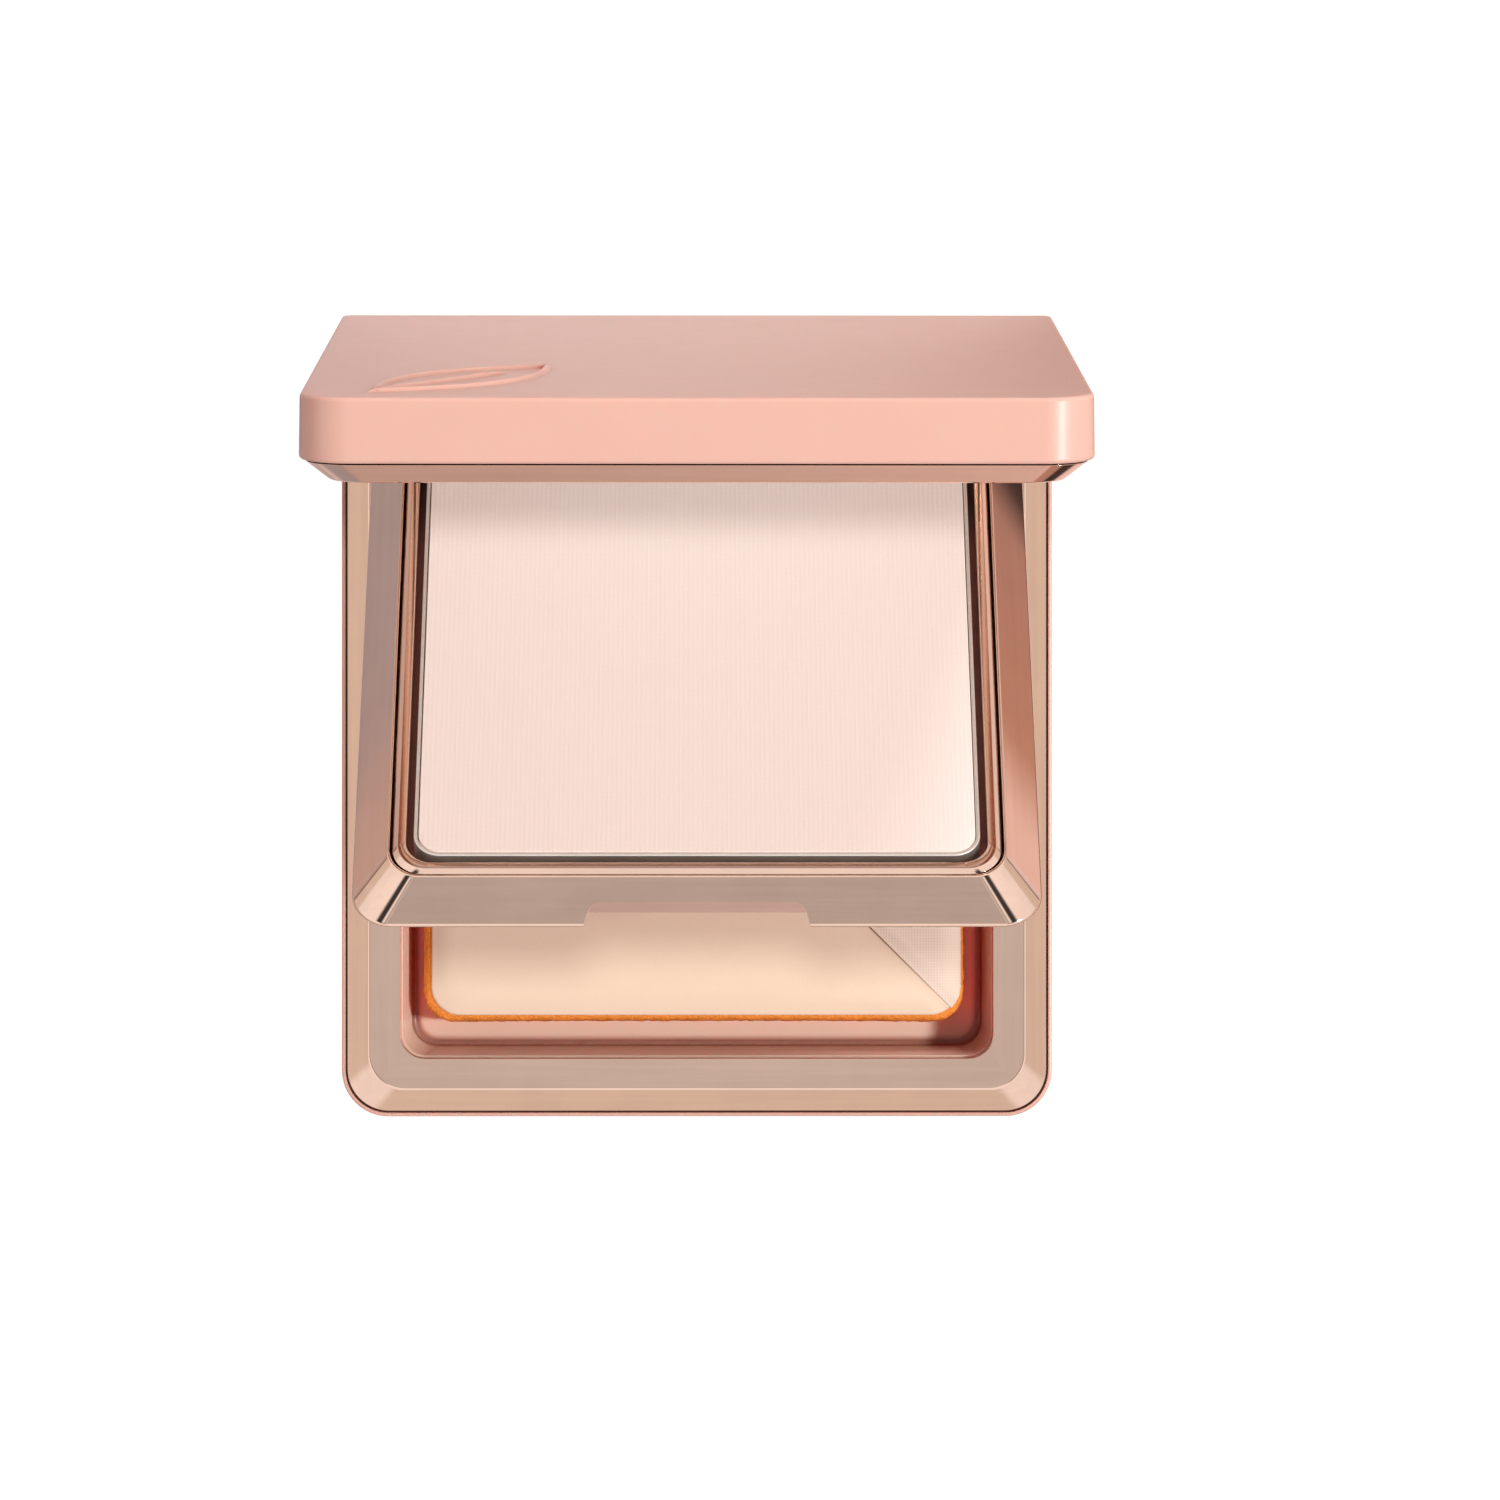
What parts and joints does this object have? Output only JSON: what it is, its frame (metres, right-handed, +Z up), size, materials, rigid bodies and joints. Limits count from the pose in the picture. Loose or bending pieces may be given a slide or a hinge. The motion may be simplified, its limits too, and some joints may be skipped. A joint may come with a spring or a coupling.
{
  "type": "powder compact",
  "caption": "Square three-tier face-powder compact: puff well in the base, hinged powder tray, hinged mirror lid, rose-gold bevelled trims.",
  "frame": {"origin": "centre of the base's flat underside", "axes": "+Z up, out of the base; +Y towards the hinge at the back; +X to the right as the user faces the compact"},
  "size_m": [0.068, 0.0766, 0.0767],
  "materials": {
    "peach_plastic": "satin moulded peach plastic",
    "rose_gold": "polished rose-gold plating",
    "steel": "bright steel",
    "label": "blank matt label",
    "orange_foam": "fine orange foam",
    "cream_velour": "smooth cream cover",
    "cream_weave": "fine plain weave",
    "pan_aluminium": "pressed aluminium",
    "pressed_powder": "pressed powder with a fine cloth texture",
    "adhesive": "foam adhesive",
    "mirror_glass": "silvered glass"
  },
  "bodies": {
    "base": {"base_shell": "peach_plastic", "base_bezel": "rose_gold", "puff_well": "peach_plastic", "weight_plate": "steel", "base_label": "label", "base_magnet_left": "steel", "base_magnet_right": "steel", "hinge_pin": "steel", "puff_foam": "orange_foam", "puff_back_cover": "cream_velour", "puff_velour_face": "cream_velour", "puff_finger_pocket": "cream_weave"},
    "tray": {"tray_bezel": "rose_gold", "tray_frame": "peach_plastic", "tray_pan_ring": "rose_gold", "powder_pan": "pan_aluminium", "powder_cake": "pressed_powder", "pan_adhesive": "adhesive", "tray_keeper_left": "steel", "tray_keeper_right": "steel"},
    "lid": {"lid_shell": "peach_plastic", "lid_bezel": "rose_gold", "mirror": "mirror_glass", "mirror_pad": "adhesive", "lid_magnet_left": "steel", "lid_magnet_right": "steel"}
  },
  "joints": [
    {"name": "tray_hinge", "type": "hinge", "parent": "base", "child": "tray", "pos_m": [0, 0.0334, 0.0089], "axis": [-1, 0, 0], "range_deg": [-40, 5]},
    {"name": "lid_hinge", "type": "hinge", "parent": "tray", "child": "lid", "pos_m": [0, 0.0334, 0.0089], "axis": [-1, 0, 0], "range_deg": [-40, 65]}
  ]
}
